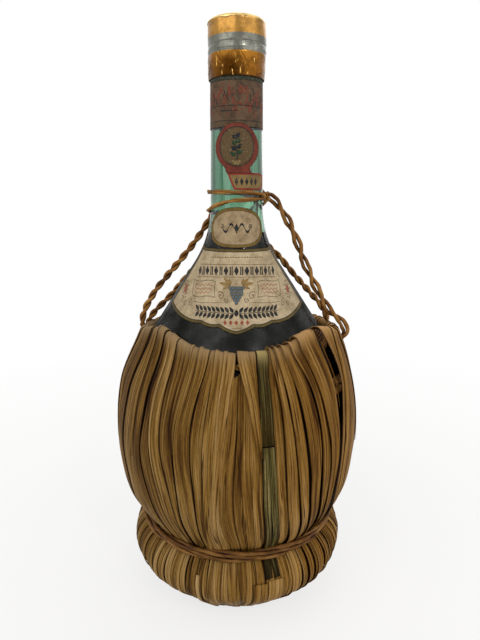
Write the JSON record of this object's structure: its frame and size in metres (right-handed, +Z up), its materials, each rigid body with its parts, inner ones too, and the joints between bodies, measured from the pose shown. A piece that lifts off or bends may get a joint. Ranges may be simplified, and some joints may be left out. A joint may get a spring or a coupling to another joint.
{
  "type": "straw-covered wine flask",
  "caption": "Round-bottomed green glass wine flask in a straw basket, corked under a foil capsule, with paper labels and a twisted straw carrying cord.",
  "frame": {"origin": "on the floor under the middle of the basket's foot", "axes": "+Z up the flask's axis, -Y towards the front with the labels"},
  "size_m": [0.1456, 0.1456, 0.3263],
  "materials": {
    "green_glass": "blown, slightly seedy",
    "red_wine": "clear dark liquid",
    "cork_bark": "natural cork with pores",
    "lacquered_foil": "gold lacquer over soft tin foil, with a bare band",
    "strip_paper": "aged printed paper",
    "seal_paper": "aged printed paper",
    "tab_paper": "aged printed paper",
    "shoulder_paper": "aged paper with an ochre border",
    "label_paper": "aged paper with an ochre border",
    "twisted_straw": "twisted marsh straw, two strands",
    "dried_blade": "dried flat blades with fine ribs",
    "green_blade": "flat blade dyed green",
    "straw_roll": "bundled straw"
  },
  "bodies": {
    "bottle": {"glass_flask": "green_glass", "wine_fill": "red_wine", "base_ring": "straw_roll", "neck_strip": "strip_paper", "seal_label": "seal_paper", "number_label": "tab_paper", "shoulder_label": "shoulder_paper", "main_label": "label_paper", "rim_cord": "twisted_straw", "belly_hoop": "twisted_straw", "waist_cord": "twisted_straw", "neck_winding": "twisted_straw", "neck_knot": "twisted_straw", "carry_cord_left": "twisted_straw", "carry_cord_right": "twisted_straw", "carry_cord_back": "twisted_straw", "inner_straw_01": "dried_blade", "inner_straw_02": "dried_blade", "inner_straw_03": "dried_blade", "inner_straw_04": "dried_blade", "inner_straw_05": "dried_blade", "inner_straw_06": "dried_blade", "inner_straw_07": "dried_blade", "inner_straw_08": "dried_blade", "inner_straw_09": "dried_blade", "inner_straw_10": "dried_blade", "inner_straw_11": "dried_blade", "inner_straw_12": "dried_blade", "outer_straw_01": "dried_blade", "outer_straw_02": "dried_blade", "outer_straw_03": "dried_blade", "outer_straw_04": "dried_blade", "outer_straw_05": "dried_blade", "outer_straw_06": "dried_blade", "outer_straw_07": "dried_blade", "outer_straw_08": "dried_blade", "outer_straw_09": "dried_blade", "outer_straw_10": "dried_blade", "outer_straw_11": "dried_blade", "outer_straw_12": "dried_blade", "green_blade_upper": "green_blade", "green_blades_lower": "green_blade"},
    "cork": {"cork": "cork_bark"},
    "capsule": {"capsule_sleeve": "lacquered_foil", "capsule_disc": "lacquered_foil"}
  },
  "joints": [
    {"name": "cork_draw", "type": "slide", "parent": "bottle", "child": "cork", "axis": [0, 0, 1], "range_m": [0, 0.05]},
    {"name": "capsule_lift", "type": "slide", "parent": "cork", "child": "capsule", "axis": [0, 0, 1], "range_m": [0, 0.034]}
  ]
}
